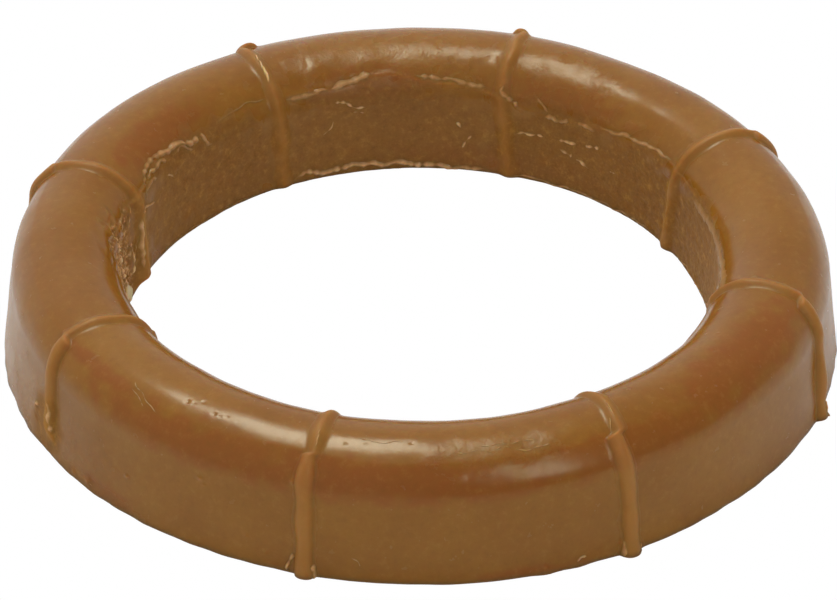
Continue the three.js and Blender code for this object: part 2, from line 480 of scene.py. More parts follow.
DENTS = (
    Dent(234.5, 21.9, 0.3, -0.09),
    Dent(235.5, 22.1, 0.2, -0.04),
    Dent(236.7, 22.8, 0.26, -0.06),
    Dent(239.4, 21.6, 0.28, -0.08),
    Dent(240.4, 21.5, 0.2, -0.04),
    Dent(241.4, 21.8, 0.26, -0.06),
    Dent(243.2, 21.7, 0.2, -0.04),
    Dent(259.6, 21.8, 0.22, -0.1),
    Dent(262.4, 22.1, 0.2, -0.08),
    Dent(269.0, 22.6, 0.22, -0.07),
    Dent(228.4, 6.8, 0.34, 0.2),
    Dent(240.3, 11.8, 0.36, 0.24),
    Dent(240.9, 10.9, 0.26, 0.14),
    Dent(218.0, 1.6, 0.45, 0.22),
    Dent(221.2, 1.9, 0.6, 0.2),
    Dent(247.4, 4.9, 0.5, 0.16),
    Dent(250.1, 3.2, 0.42, 0.15),
    Dent(206.8, 5.9, 0.6, 0.22),
    Dent(253.3, 15.2, 0.32, 0.22),
    Dent(297.0, 2.6, 0.5, 0.25),
    Dent(286.4, 1.8, 0.4, 0.2),
    Dent(76.9, 28.5, 1.0, -0.12),
    Dent(322.0, 24.5, 0.25, -0.08),
    Dent(317.5, 25.6, 0.2, -0.07),
)


@dataclass
class Handling:
    """What was done to the cast skin: tears, rubbed and lumpy stretches, pits and crumbs."""

    section: Section
    torn_ridge: float = 0.2
    torn_floor: float = -0.08
    patch_edges: RingNoise = RingNoise(41, 4.0)
    ridges: RingNoise = RingNoise(51, 1.7, 1.7)
    torn_grain: RingNoise = RingNoise(52, 0.9, 0.07)
    grain: RingNoise = RingNoise(53, 1.3, 0.022)
    coarse_grain: RingNoise = RingNoise(54, 2.4, 0.03)
    lumps: RingNoise = RingNoise(55, 5.5, 0.035)
    small_lumps: RingNoise = RingNoise(56, 2.2, 0.012)

    def mask(self, wear: Wear, angle: np.ndarray, s: np.ndarray) -> np.ndarray:
        """How much of one kind of wear lies at each place, between 0 and 1."""
        ragged = self.patch_edges.at(angle, s)
        total = np.zeros(np.shape(angle))
        for patch in PATCHES:
            if patch.wear is wear:
                total = np.maximum(total, patch.mask(angle, s, ragged))
        return total

    def crumbs(self, angle: np.ndarray, s: np.ndarray) -> np.ndarray:
        """How near each place in torn wax is to the crest of a crumbly ridge, between 0 and 1."""
        return np.clip(1.0 - np.abs(self.ridges.at(angle, 0.75 * s)), 0.0, 1.0)

    def rise(self, angle: np.ndarray, s: np.ndarray) -> np.ndarray:
        """How far the worn stretches lie off the cast skin at ring angles and lengths along the section."""
        torn = self.torn_ridge * self.crumbs(angle, s) ** 1.3 + self.torn_grain.at(angle, s) + self.torn_floor
        grain = self.grain.at(angle, 1.5 * s) + self.coarse_grain.at(angle, 1.3 * s)
        lumps = self.lumps.at(angle, s) + self.small_lumps.at(angle, s)
        return (
            torn * self.mask(Wear.TORN, angle, s)
            + grain * self.mask(Wear.GRAINY, angle, s)
            + lumps * self.mask(Wear.LUMPY, angle, s)
            - self.mask(Wear.SUNKEN, angle, s)
        )

    def dents(self, angle: np.ndarray, s: np.ndarray) -> np.ndarray:
        """The rise of the lumps and the depth of the pits."""
        radius = self.section.at(s)[0]
        total = np.zeros(np.shape(angle))
        for dent in DENTS:
            around = np.radians(turn_between(angle, dent.angle)) * radius
            away = np.hypot(around, s - dent.s) / dent.radius
            total += dent.rise * np.exp(-(away**2))
        return total


@dataclass(frozen=True)
class Sag:
    """One wave of a wall's sag out of round: how often it swells in a turn, how far, and where first."""

    swells: int
    reach: float
    first: float = 0.0

    def at(self, angle: np.ndarray) -> np.ndarray:
        """How far the wall has sagged outwards at ring angles."""
        return self.reach * np.cos(self.swells * np.radians(angle - self.first))


OUTER_SAG = (
    Sag(0, 0.15),
    Sag(1, 0.094, 117.9),
    Sag(2, 0.301, 98.2),
    Sag(3, 0.248, -17.6),
    Sag(4, 0.043, -7.4),
    Sag(5, 0.16, -9.1),
)
BORE_SAG = (
    Sag(0, -0.4),
    Sag(1, 0.151, -38.0),
    Sag(2, 0.044, -35.8),
    Sag(3, 0.205, -55.3),
    Sag(4, 0.104, -20.0),
    Sag(5, 0.098, -25.6),
)


@dataclass(frozen=True)
class WeltShape:
    """How wide and high a welt is, how pale and ragged, and how full its section is."""

    half_width: float
    height: float
    paleness: float
    raggedness: float
    fullness: float = 1.1


class WeltKind(Enum):
    """Kinds of thin welt on the skin."""

    FIN = WeltShape(0.66, 0.2, 0.5, 0.38)
    FOLD = WeltShape(0.85, 0.14, 0.5, 0.35)
    SEAM = WeltShape(0.5, 0.13, 0.36, 0.25)
    BAND = WeltShape(1.3, 0.07, 0.3, 0.1, 1.6)
    TEAR = WeltShape(0.46, 0.3, 1.15, 0.6)
    STREAK = WeltShape(0.4, 0.09, 0.8, 0.6)
    FLASH = WeltShape(0.5, 0.2, 0.8, 0.3)
    FLAKE = WeltShape(1.35, 0.4, 2.2, 0.12, 3.0)
    # a low ridge painted pale as a highlight along a bead's crest
    CREST_GLINT = WeltShape(0.85, 0.14, 1.0, 0.3, 2.5)
    LIP = WeltShape(0.5, 0.34, 0.7, 0.4)


@dataclass(frozen=True)
class Welt:
    """A thin ragged welt along places on the skin, each a ring angle and a length along the section.

    Its size is a share of its kind's width, height and paleness.
    """

    kind: WeltKind
    places: tuple[tuple[float, float], ...]
    size: float = 1.0


WELTS = (
    # the torn edge over the bore at the back left, and its inner branch
    Welt(WeltKind.FIN, (
        (159.0, 35.0), (158.4, 33.6), (156.6, 32.6), (154.8, 32.1), (151.0, 31.7), (148.4, 32.5),
        (146.0, 32.3), (144.2, 32.3), (143.0, 33.4), (140.8, 33.3), (138.8, 33.4), (137.8, 34.9),
        (136.4, 35.4),
    )),
    Welt(WeltKind.FIN, ((156.9, 33.7), (153.8, 33.0), (151.4, 32.8), (149.6, 33.4)), 0.8),
    Welt(WeltKind.FIN, ((160.0, 36.2), (158.8, 34.8), (157.4, 34.4), (155.6, 34.2), (154.0, 34.6)), 0.7),
    Welt(WeltKind.FIN, ((147.4, 33.4), (145.0, 33.0), (143.6, 33.8), (141.8, 34.1)), 0.6),
    Welt(WeltKind.STREAK, ((151.0, 35.6), (149.0, 36.4), (147.6, 36.2))),
    # crumbly ridges down the bore beside the left_back bead
    Welt(WeltKind.TEAR, (
        (177.8, 34.4), (176.4, 36.9), (175.6, 39.4), (174.8, 41.4), (172.8, 44.6), (171.8, 46.2),
    ), 0.9),
    Welt(WeltKind.TEAR, ((172.6, 38.2), (172.2, 40.0), (172.6, 41.6)), 0.6),
    Welt(WeltKind.TEAR, ((168.4, 39.4), (167.9, 41.5), (168.2, 43.6), (168.6, 45.4)), 0.9),
    Welt(WeltKind.TEAR, ((166.4, 33.6), (168.2, 34.6), (170.0, 36.2)), 0.5),
    Welt(WeltKind.FLASH, ((156.3, 38.0), (158.6, 37.4), (161.8, 36.7), (163.6, 36.2)), 0.8),
    # a low ridge down the left_back bead's flank, painted pale as the highlight along its crest
    Welt(WeltKind.FLASH, ((164.4, 36.8), (164.7, 38.8), (165.1, 41.4), (165.6, 44.0), (165.9, 45.6)), 1.3),
    Welt(WeltKind.FLAKE, ((173.8, 45.2), (172.6, 46.6), (171.2, 48.0))),
    # the inner joint across the back
    Welt(WeltKind.SEAM, ((134.4, 33.0), (130.6, 32.1), (126.4, 31.8), (121.6, 32.0)), 0.5),
    Welt(WeltKind.FOLD, ((117.8, 32.6), (114.6, 33.2), (111.6, 33.1), (108.8, 32.9)), 0.7),
    Welt(WeltKind.FOLD, ((108.2, 33.0), (105.2, 32.4), (102.4, 31.9), (99.6, 31.3))),
    Welt(WeltKind.FOLD, (
        (91.4, 31.7), (88.4, 32.2), (85.2, 32.5), (82.0, 32.8), (79.0, 33.1), (76.6, 33.1),
    ), 0.75),
    Welt(WeltKind.FIN, ((73.2, 32.6), (73.5, 33.4), (72.6, 34.2), (72.0, 34.9), (69.8, 35.4)), 0.9),
    Welt(WeltKind.FIN, ((66.2, 33.6), (64.6, 34.6), (63.4, 35.4)), 0.6),
    Welt(WeltKind.FIN, ((63.8, 36.0), (61.6, 36.2), (58.6, 35.9)), 0.95),
    Welt(WeltKind.FIN, ((56.6, 35.6), (54.8, 35.6), (52.2, 35.8)), 0.7),
    Welt(WeltKind.SEAM, (
        (50.6, 35.2), (49.0, 34.8), (45.0, 34.4), (41.0, 34.0), (36.0, 33.7), (31.6, 33.5),
    )),
    Welt(WeltKind.BAND, (
        (22.0, 35.4), (17.6, 35.6), (11.4, 35.3), (5.6, 35.2),
        (0.0, 34.8), (-6.6, 33.9), (-13.0, 32.8), (-18.0, 31.8),
    )),
    # low ridges over the beads' crests, painted pale as their highlights
    Welt(WeltKind.CREST_GLINT, ((119.2, 24.0), (119.5, 26.2), (119.7, 27.8), (119.9, 29.8))),
    Welt(WeltKind.CREST_GLINT, ((299.0, 21.6), (299.2, 23.2), (299.4, 24.8)), 0.8),
    Welt(WeltKind.STREAK, ((297.5, 19.7), (297.9, 20.8), (298.4, 21.9)), 1.3),
    Welt(WeltKind.CREST_GLINT, ((255.7, 20.6), (255.6, 21.8), (255.5, 23.2)), 0.7),
    # scratches down the bore
    Welt(WeltKind.STREAK, ((107.8, 35.0), (104.4, 35.9), (101.2, 36.9)), 1.1),
    Welt(WeltKind.STREAK, ((104.0, 37.2), (101.6, 37.6)), 0.7),
    Welt(WeltKind.STREAK, ((110.4, 40.7), (109.0, 39.4), (107.8, 38.1)), 0.8),
    Welt(WeltKind.STREAK, ((82.6, 39.7), (81.6, 40.7)), 1.2),
    Welt(WeltKind.STREAK, ((79.4, 41.9), (80.4, 43.0), (81.2, 44.3)), 0.9),
    Welt(WeltKind.STREAK, ((70.6, 40.6), (68.6, 40.0), (66.4, 40.0), (64.0, 40.0)), 1.1),
    Welt(WeltKind.STREAK, ((60.6, 39.9), (58.6, 39.5), (56.4, 39.4)), 1.3),
    Welt(WeltKind.STREAK, ((54.4, 39.0), (52.8, 38.8), (51.0, 38.6)), 1.2),
    Welt(WeltKind.STREAK, ((60.4, 41.2), (59.0, 41.7), (57.4, 42.0)), 1.5),
    Welt(WeltKind.STREAK, ((56.6, 42.2), (54.8, 42.6), (53.0, 43.1)), 1.3),
    Welt(WeltKind.STREAK, ((48.0, 41.6), (46.6, 41.9)), 1.0),
    # the flash round the inner foot
    Welt(WeltKind.FLASH, (
        (118.0, 47.9), (116.6, 47.3), (114.4, 46.8), (111.0, 47.5), (107.6, 47.2), (105.0, 47.1),
        (102.2, 46.9), (98.6, 47.3), (95.2, 47.2), (90.2, 47.9), (86.0, 47.7), (82.4, 48.1),
        (78.0, 47.9), (75.0, 47.8),
    ), 1.3),
    Welt(WeltKind.FLASH, (
        (71.6, 48.0), (66.0, 47.9), (60.0, 48.1), (54.0, 47.9), (47.0, 48.1), (40.0, 47.9), (33.0, 48.1),
    ), 0.6),
    Welt(WeltKind.FLASH, ((25.0, 48.0), (19.0, 47.8), (12.0, 48.0), (4.0, 47.9)), 0.6),
    Welt(WeltKind.FLASH, ((157.0, 48.0), (150.0, 47.8), (141.0, 48.0), (133.0, 47.9), (124.0, 48.1)), 0.35),
    # where the left_front bead is rubbed off its foot
    Welt(WeltKind.TEAR, ((206.3, 6.5), (207.0, 6.7), (207.8, 6.6)), 0.9),
    Welt(WeltKind.STREAK, ((211.6, 9.8), (212.1, 8.2), (212.0, 6.4), (212.5, 4.9)), 1.3),
    # crumbs on the outer wall near the foot
    Welt(WeltKind.STREAK, ((290.6, 1.5), (291.3, 1.9), (292.0, 1.8)), 0.8),
    Welt(WeltKind.STREAK, ((261.4, 4.4), (262.2, 3.7), (262.5, 2.9)), 0.6),
    Welt(WeltKind.STREAK, ((220.6, 2.4), (221.6, 2.0), (222.2, 1.4)), 0.7),
    # lips where the mould pinched the feet of the front beads
    Welt(WeltKind.LIP, ((253.2, 0.9), (253.3, 2.2), (253.8, 3.8))),
    Welt(WeltKind.LIP, ((257.0, 0.4), (256.8, 1.5), (256.5, 2.6)), 0.8),
    Welt(WeltKind.LIP, ((296.9, 0.6), (297.1, 1.8), (297.3, 3.0)), 0.8),
    Welt(WeltKind.LIP, ((299.9, 0.5), (299.8, 1.6)), 0.8),
    Welt(WeltKind.LIP, ((339.6, 0.5), (339.7, 1.8), (339.9, 2.8)), 0.7),
    # fine scratches beside and through the highlight
    Welt(WeltKind.STREAK, ((225.0, 20.9), (226.8, 20.1), (228.8, 19.3), (231.6, 18.3)), 0.5),
    Welt(WeltKind.STREAK, ((225.6, 19.9), (227.2, 19.2), (229.0, 18.4)), 0.45),
    Welt(WeltKind.STREAK, ((274.6, 20.9), (277.4, 21.0), (280.6, 20.8), (283.4, 21.1)), 0.6),
    Welt(WeltKind.STREAK, ((278.0, 21.8), (281.0, 21.6), (284.6, 21.9), (287.2, 21.7)), 0.55),
    Welt(WeltKind.STREAK, ((283.6, 20.3), (286.0, 20.2), (288.6, 20.5)), 0.6),
    Welt(WeltKind.STREAK, ((260.8, 22.8), (264.4, 22.6), (268.0, 22.8)), 0.45),
)


class Edit:
    """Edit mode on one object, with nothing else selected."""

    def __init__(self, thing: bpy.types.Object) -> None:
        """Names the object to be edited."""
        self.thing = thing

    def __enter__(self) -> bpy.types.Object:
        """Selects the object alone and opens it with nothing in it selected."""
        select_only(self.thing)
        bpy.ops.object.mode_set(mode="EDIT")
        bpy.ops.mesh.select_all(action="DESELECT")
        return self.thing

    def __exit__(self, *_: Any) -> None:
        """Goes back to object mode."""
        bpy.ops.object.mode_set(mode="OBJECT")


def select_only(thing: bpy.types.Object) -> None:
    """Makes one object the only one selected, and the active one."""
    bpy.ops.object.select_all(action="DESELECT")
    thing.select_set(True)
    bpy.context.view_layer.objects.active = thing


def read_points(thing: bpy.types.Object) -> np.ndarray:
    """The object's vertices as an array of rows of x, y and z, in millimetres."""
    flat = np.empty(len(thing.data.vertices) * 3)
    thing.data.vertices.foreach_get("co", flat)
    return flat.reshape(-1, 3) / MM


def write_points(thing: bpy.types.Object, points: np.ndarray) -> None:
    """Moves the object's vertices to rows of x, y and z, in millimetres."""
    thing.data.vertices.foreach_set("co", (points * MM).ravel())
    thing.data.update()


def read_values(thing: bpy.types.Object, name: str) -> np.ndarray:
    """The numbers that a named attribute keeps, one for each vertex."""
    layer = thing.data.attributes[name].data
    values = np.empty(len(layer), dtype=np.float32)
    layer.foreach_get("value", values)
    return values.astype(float)


def write_values(thing: bpy.types.Object, name: str, values: np.ndarray) -> None:
    """Keeps one number for each vertex in a named attribute."""
    layer = thing.data.attributes.get(name) or thing.data.attributes.new(name, "FLOAT", "POINT")
    layer.data.foreach_set("value", np.asarray(values, dtype=np.float32).ravel())


def face_middles(thing: bpy.types.Object) -> np.ndarray:
    """The middles of the object's faces as rows of x, y and z, in millimetres."""
    flat = np.empty(len(thing.data.polygons) * 3)
    thing.data.polygons.foreach_get("center", flat)
    return flat.reshape(-1, 3) / MM


def turn_of(points: np.ndarray) -> np.ndarray:
    """The ring angles of points, in degrees."""
    return np.degrees(np.arctan2(points[:, 1], points[:, 0]))


@dataclass
class CastRing:
    """The wax ring itself, from its revolved section to its last dent.

    The mesh's columns run up the section and follow the beads, and a bead's zone is how far its own columns
    reach to each side. The pace is the usual distance between two rows.
    """

    section: Section = field(default_factory=Section)
    mould: Mould = field(default_factory=Mould)
    columns_per_bead: int = 68
    bead_columns: int = 26
    bead_zone: float = 2.3
    foot_rows: int = 7
    row_pace: float = 0.5
    crease_level: float = 33.6
    plain_grain: float = 0.9
    widest_pit: float = 0.8

    def __post_init__(self) -> None:
        """Lays the beads and the marks of handling over the section."""
        self.beads = BeadRow(self.section, self.mould.outer_joint)
        self.handling = Handling(self.section)

    def build(self) -> bpy.types.Object:
        """Models the ring and keeps on it what its material reads.

        Returns:
            The finished ring, at the origin.
        """
        s = self._rows()
        columns = self.columns_per_bead * len(BEADS)
        ring = self._revolve(s, columns)
        self._align(ring, s, columns)
        self._refine(ring)
        points = read_points(ring)
        angle, s = turn_of(points), read_values(ring, "along")
        write_points(ring, self.skin(angle, s, self.handling.dents(angle, s)))
        self._write_looks(ring, angle, s)
        select_only(ring)
        bpy.ops.object.shade_smooth()
        return ring

    def skin(self, angle: np.ndarray, s: np.ndarray, lift: np.ndarray | float = 0.0) -> np.ndarray:
        """Places points on the finished skin, or off it.

        Args:
            angle: Ring angles in degrees.
            s: Lengths along the section.
            lift: How far off the skin, in millimetres.

        Returns:
            Rows of x, y and z in millimetres.
        """
        r, z, out, up = self.section.at(s)
        off_plain = self.beads.rise(angle, s) + self.mould.rise(angle, s) + self.handling.rise(angle, s)
        relief = lift + np.where(s <= self.section.length, off_plain, 0.0)
        radius = r + out * relief + self._out_of_round(angle, r)
        height = z + up * relief * smooth_step(0.0, 1.0, z)
        theta = np.radians(angle)
        return np.stack([radius * np.cos(theta), radius * np.sin(theta), height], axis=-1)

    def _rows(self) -> np.ndarray:
        """Lengths along the section of the mesh's rows, finer at the mould's joints and the feet."""
        end = self.section.length
        grid = np.linspace(0.0, end, 4000)
        # where the rows lie closer: the length along the section, how much closer, and over what reach
        fine_places = (
            (self.mould.outer_joint, 0.3, 0.9),
            (self.crease_level, 0.22, 2.2),
            (0.0, 0.25, 0.8),
            (end, 0.3, 1.0),
        )
        pace = np.full(len(grid), self.row_pace)
        for place, closer, reach in fine_places:
            pace -= closer * np.exp(-(((grid - place) / reach) ** 2))
        count = np.concatenate([[0.0], np.cumsum(np.diff(grid) / pace[1:])])
        rows = int(round(count[-1]))
        skin = np.interp(np.linspace(0.0, count[-1], rows + 1), count, grid)
        foot_width = self.section.foot_outside - self.section.foot_inside
        foot = end + foot_width * np.linspace(0.0, 1.0, self.foot_rows + 2)[1:-1]
        return np.concatenate([skin, foot])

    def _revolve(self, s: np.ndarray, columns: int) -> bpy.types.Object:
        """Draws the section from a circle and spins it into a ring.

        Args:
            s: Lengths along the section of its rows, the foot's rows last.
            columns: How many steps the spin takes.

        Returns:
            The plain ring, each vertex of which keeps the number of its row.
        """
        middle = self.section.apex_radius * MM
        bpy.ops.object.select_all(action="DESELECT")
        bpy.ops.mesh.primitive_circle_add(
            vertices=len(s), radius=0.01, location=(middle, 0.0, 0.01), rotation=(math.pi / 2, 0.0, 0.0)
        )
        ring = bpy.context.object
        ring.name = "cast_ring"
        bpy.ops.object.transform_apply(location=True, rotation=True, scale=True)
        r, z, _, _ = self.section.at(s)
        write_points(ring, np.stack([r, np.zeros_like(r), z], axis=1))
        write_values(ring, "row", np.arange(len(s)))
        sectors = len(BEADS)
        sector = FULL_TURN / sectors
        about = {"center": (0.0, 0.0, 0.0), "axis": (0.0, 0.0, 1.0)}
        with Edit(ring):
            bpy.ops.mesh.select_all(action="SELECT")
            bpy.ops.mesh.spin(steps=columns // sectors, angle=sector, **about)
            bpy.ops.mesh.select_all(action="SELECT")
            bpy.ops.mesh.spin(steps=sectors - 1, dupli=True, angle=FULL_TURN - sector, **about)
            bpy.ops.mesh.select_all(action="SELECT")
            bpy.ops.mesh.remove_doubles(threshold=1e-6)
            bpy.ops.mesh.normals_make_consistent(inside=False)
        return ring

    def _align(self, ring: bpy.types.Object, s: np.ndarray, columns: int) -> None:
        """Turns the columns so that they follow the beads, and keeps each vertex's length along the section.

        Args:
            ring: The plain ring.
            s: Lengths along the section of its rows.
            columns: How many columns it has.
        """
        points = read_points(ring)
        row = np.round(read_values(ring, "row")).astype(int)
        column = np.round(turn_of(points) / 360.0 * columns).astype(int) % columns
        r, z, _, _ = self.section.at(s)
        theta = np.radians(self._columns(s, r)[column, row])
        write_points(ring, np.stack([r[row] * np.cos(theta), r[row] * np.sin(theta), z[row]], axis=1))
        write_values(ring, "along", s[row])

    def _columns(self, s: np.ndarray, r: np.ndarray) -> np.ndarray:
        """The ring angle in degrees of every column at every row, given the rows' lengths and radii."""
        per_bead, across = self.columns_per_bead, self.bead_columns // 2
        joint, end = self.mould.outer_joint, self.section.length
        centres = [bead.centre(s, joint, end) for bead in BEADS]
        angle = np.empty((per_bead * len(BEADS), len(s)))
        for b, here in enumerate(centres):
            there = centres[(b + 1) % len(BEADS)] + (360.0 if b + 1 == len(BEADS) else 0.0)
            span = np.radians(there - here) * r
            for k in range(per_bead):
                if k <= across:
                    offset = np.full(len(s), self.bead_zone * k / across)
                elif k >= per_bead - across:
                    offset = span - self.bead_zone * (per_bead - k) / across
                else:
                    share = (k - across) / (per_bead - 2 * across)
                    offset = self.bead_zone + (span - 2 * self.bead_zone) * share
                angle[b * per_bead + k] = here + np.degrees(offset / r)
        return angle

    def _out_of_round(self, angle: np.ndarray, radius: np.ndarray) -> np.ndarray:
        """How far the soft ring has sagged out of round, in millimetres along the radius."""
        bore, outer = (sum(wave.at(angle) for wave in waves) for waves in (BORE_SAG, OUTER_SAG))
        bore_radius, foot_radius = self.section.bore_radius, self.section.foot_radius
        share = np.clip((radius - bore_radius) / (foot_radius - bore_radius), 0.0, 1.0)
        return bore + (outer - bore) * share

    def _refine(self, ring: bpy.types.Object) -> None:
        """Cuts the faces finer where the skin is torn, grainy or dented."""
        middles = face_middles(ring)
        fine = np.zeros(len(middles), dtype=bool)
        for patch in PATCHES:
            strong_grain = patch.wear is Wear.GRAINY and patch.strength > self.plain_grain
            if patch.wear is Wear.TORN or strong_grain:
                fine |= self._near(middles, patch.angle, patch.s, patch.half_turn * 0.86, patch.half_length)
        self._subdivide(ring, fine, 2)

        middles = face_middles(ring)
        fine = np.zeros(len(middles), dtype=bool)
        for dent in DENTS:
            if dent.radius <= self.widest_pit:
                reach = dent.radius * 2.0 + 0.3
                radius = float(self.section.at(np.array(dent.s))[0])
                fine |= self._near(middles, dent.angle, dent.s, math.degrees(reach / radius), reach)
        self._subdivide(ring, fine, 3)

    def _near(
        self, middles: np.ndarray, angle: float, s: float, half_turn: float, half_length: float
    ) -> np.ndarray:
        """Which faces, by their middles, lie within a stretch of the plain skin."""
        rows = np.linspace(s - half_length, min(s + half_length, self.section.length), 40)
        r, z, _, _ = self.section.at(rows)
        turned = np.abs(turn_between(turn_of(middles), angle)) < half_turn
        across = np.hypot(middles[:, 0], middles[:, 1])
        close = np.zeros(len(middles), dtype=bool)
        reach = max(0.35, half_length / 30)
        for radius, height in zip(r, z):
            close |= np.hypot(across - radius, middles[:, 2] - height) < reach
        return turned & close

    def _subdivide(self, ring: bpy.types.Object, faces: np.ndarray, cuts: int) -> None:
        """Cuts the chosen faces into finer ones."""
        with Edit(ring):
            bpy.ops.mesh.select_mode(type="FACE")
            bpy.ops.object.mode_set(mode="OBJECT")
            ring.data.polygons.foreach_set("select", faces)
            bpy.ops.object.mode_set(mode="EDIT")
            bpy.ops.mesh.subdivide(number_cuts=cuts)

    def _write_looks(self, ring: bpy.types.Object, angle: np.ndarray, s: np.ndarray) -> None:
        """Keeps what the material reads: bead crests, rough, pale and lumpy wax, and redder painted shade."""
        worn = {wear: self.handling.mask(wear, angle, s) for wear in Wear}
        rough = np.clip(worn[Wear.TORN] + worn[Wear.GRAINY], 0.0, 1.0)
        pale = 0.9 * worn[Wear.TORN] * self.handling.crumbs(angle, s) ** 3
        skin = s <= self.section.length
        write_values(ring, "bead", self.beads.share(angle, s))
        write_values(ring, "rough", np.where(skin, rough, 0.0))
        write_values(ring, "pale", np.where(skin, pale, 0.0))
        write_values(ring, "ruddy_shade", np.where(skin, worn[Wear.RUDDY_SHADE], 0.0))
        write_values(ring, "lumpy", np.where(skin, worn[Wear.LUMPY], 0.0))


@dataclass
class Welts:
    """The thin ragged welts that the mould's joints, tears and scratches left standing on the skin, and low
    ridges painted pale as highlights on bead crests.
    """

    ring: CastRing
    step: float = 0.24
    cuts_across: int = 6
    sunk: float = 0.1
    ragged_length: float = 1.25
    lean_length: float = 3.2
    lean: float = 0.12
    tapering_share: float = 0.12
    narrowest: float = 0.6
    foot_clearance: float = 0.05
    height_seed: int = 300
    lean_seed: int = 400

    def build(self) -> bpy.types.Object:
        """Models every welt and joins them.

        Returns:
            The welts as one object, at the origin.
        """
        strips = [self._strip(welt, number) for number, welt in enumerate(WELTS)]
        bpy.ops.object.select_all(action="DESELECT")
        for strip in strips:
            strip.select_set(True)
        bpy.context.view_layer.objects.active = strips[0]
        bpy.ops.object.join()
        welts = bpy.context.object
        welts.name = "welts"
        bpy.ops.object.shade_smooth()
        return welts

    def _strip(self, welt: Welt, number: int) -> bpy.types.Object:
        """Models one welt from a grid laid along its path.

        Args:
            welt: The welt.
            number: Fixes its raggedness.

        Returns:
            The welt, whose edges lie under the skin.
        """
        shape = welt.kind.value
        path_angle, path_s, length = self._path(welt)
        cuts = max(4, int(length / self.step))
        bpy.ops.object.select_all(action="DESELECT")
        bpy.ops.mesh.primitive_grid_add(x_subdivisions=cuts, y_subdivisions=self.cuts_across, size=MM)
        strip = bpy.context.object
        flat = read_points(strip)
        along, across = flat[:, 0] + 0.5, 2.0 * flat[:, 1]

        places = np.linspace(0.0, 1.0, len(path_s))
        around = np.radians(path_angle) * self.ring.section.at(path_s)[0]
        heading = np.unwrap(np.arctan2(np.gradient(path_s), np.gradient(around)))
        angle, s, heading = (np.interp(along, places, path) for path in (path_angle, path_s, heading))
        radius = self.ring.section.at(s)[0]

        rise, sway = self._ragged(shape, number, along, length)
        height, half_width = shape.height * welt.size, shape.half_width * welt.size
        width_share = self.narrowest + (1.0 - self.narrowest) * np.clip(rise, 0.0, 1.2)
        offset = across * half_width * width_share + sway
        angle = angle - np.degrees(np.sin(heading) * offset / radius)
        end = self.ring.section.length
        s = np.clip(s + np.cos(heading) * offset, self.foot_clearance, end - self.foot_clearance)
        crest = 1.0 - np.abs(across) ** shape.fullness
        lift = height * rise * crest - self.sunk * (1.0 - crest)
        write_points(strip, self.ring.skin(angle, s, lift))

        paleness = shape.paleness * min(1.0, welt.size)
        write_values(strip, "bead", self.ring.beads.share(angle, s))
        write_values(strip, "rough", 0.5 * crest)
        write_values(strip, "pale", paleness * np.clip(lift / height, 0.0, 1.2))
        write_values(strip, "ruddy_shade", np.zeros_like(s))
        write_values(strip, "lumpy", np.zeros_like(s))
        return strip

    def _ragged(
        self, shape: WeltShape, number: int, along: np.ndarray, length: float
    ) -> tuple[np.ndarray, np.ndarray]:
        """Draws how a welt rises and sways along its path.

        Args:
            shape: The welt's shape.
            number: Fixes its raggedness.
            along: Places along the path, from 0 at its start to 1 at its end.
            length: The path's length.

        Returns:
            Its rise as a share of its height, nothing at both ends, and its sway sideways.
        """
        travelled = length * along
        uneven = RingNoise(self.height_seed + number, self.ragged_length, shape.raggedness, waves=24)
        sway = RingNoise(self.lean_seed + number, self.lean_length, self.lean, waves=24)
        ends = smooth_step(0.0, self.tapering_share, np.minimum(along, 1.0 - along))
        return np.clip(1.0 + uneven.down(travelled), 0.2, 2.0) * ends, sway.down(travelled)

    def _path(self, welt: Welt) -> tuple[np.ndarray, np.ndarray, float]:
        """Evenly spaced ring angles and lengths along a welt's places, and its length in millimetres."""
        angle, s = np.array(welt.places).T
        radius = self.ring.section.at(s)[0]
        stretch = np.hypot(np.radians(np.diff(angle)) * radius[1:], np.diff(s))
        reach = np.concatenate([[0.0], np.cumsum(stretch)])
        even = np.linspace(0.0, reach[-1], 60)
        return np.interp(even, reach, angle), np.interp(even, reach, s), float(reach[-1])


class Value:
    """A number that varies over a surface, on which Python's arithmetic adds Math nodes."""

    def __init__(self, graph: Graph, socket: bpy.types.NodeSocket) -> None:
        """Wraps a node's output socket."""
        self.graph = graph
        self.socket = socket

    def _with(self, operation: str, first: Any, second: Any) -> Value:
        """Joins two values, or a value and a number, by a Math node."""
        return self.graph.value("ShaderNodeMath", {"operation": operation}, {0: first, 1: second})

    def __add__(self, other: Value | float) -> Value:
        """This value plus another."""
        return self._with("ADD", self, other)

    __radd__ = __add__

    def __sub__(self, other: Value | float) -> Value:
        """This value less another."""
        return self._with("SUBTRACT", self, other)

    def __rsub__(self, other: float) -> Value:
        """A number less this value."""
        return self._with("SUBTRACT", other, self)

    def __mul__(self, other: Value | float) -> Value:
        """This value times another."""
        return self._with("MULTIPLY", self, other)

    __rmul__ = __mul__

    def clamped(self) -> Value:
        """This value held between 0 and 1."""
        return self.graph.value("ShaderNodeClamp", {}, {"Value": self})

    def eased(self, low: float, high: float) -> Value:
        """Eases from 0 where this value is low to 1 where it is high."""
        return self.graph.value(
            "ShaderNodeMapRange",
            {"interpolation_type": "SMOOTHSTEP"},
            {"Value": self, "From Min": low, "From Max": high},
        )


